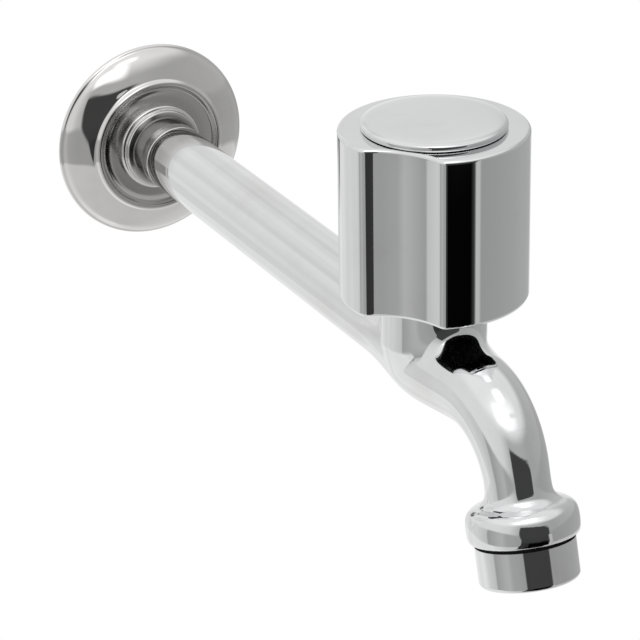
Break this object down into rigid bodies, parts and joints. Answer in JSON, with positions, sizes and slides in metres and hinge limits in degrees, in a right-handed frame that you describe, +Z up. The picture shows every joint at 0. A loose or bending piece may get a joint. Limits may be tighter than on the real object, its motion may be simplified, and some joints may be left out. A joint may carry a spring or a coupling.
{
  "type": "wall-mounted kitchen tap",
  "caption": "Wall-mounted cold-water tap with a round wall flange, a long straight tube, a notched turning knob and a short bent spout with an aerator.",
  "frame": {"origin": "centre of the inlet shank's axis in the plane of the wall", "axes": "+Z up, +Y into the wall along the inlet's axis, and the tap stands out towards -Y"},
  "size_m": [0.0574, 0.2456, 0.1042],
  "materials": {
    "chrome_plate": "polished chrome plate",
    "brass": "machined",
    "valve_ceramic": "lapped",
    "seal_rubber": "matte moulded",
    "white_plastic": "moulded",
    "spring_steel": "satin",
    "screen_steel": "woven wire"
  },
  "bodies": {
    "tap_body": {"wall_flange": "chrome_plate", "inlet_shank": "chrome_plate", "flow_reducer": "white_plastic", "body_tube": "chrome_plate", "valve_body": "chrome_plate", "headwork_body": "brass", "headwork_o_ring": "seal_rubber", "seat_seal": "seal_rubber", "ceramic_disc_fixed": "valve_ceramic", "aerator_housing": "chrome_plate", "aerator_gasket": "seal_rubber", "aerator_cartridge": "white_plastic", "aerator_screens": "screen_steel", "aerator_diffuser": "white_plastic", "aerator_strainer": "white_plastic"},
    "knob": {"knob_shell": "chrome_plate", "knob_cap": "chrome_plate", "knob_screw": "spring_steel", "knob_insert": "brass", "spindle": "brass", "spindle_o_rings": "seal_rubber", "spindle_clip": "spring_steel", "ceramic_disc_turning": "valve_ceramic", "friction_washer": "white_plastic"}
  },
  "joints": [
    {"name": "knob_turn", "type": "hinge", "parent": "tap_body", "child": "knob", "pos_m": [0, -0.1693, 0], "axis": [0, 0, 1], "range_deg": [0, 90]}
  ]
}
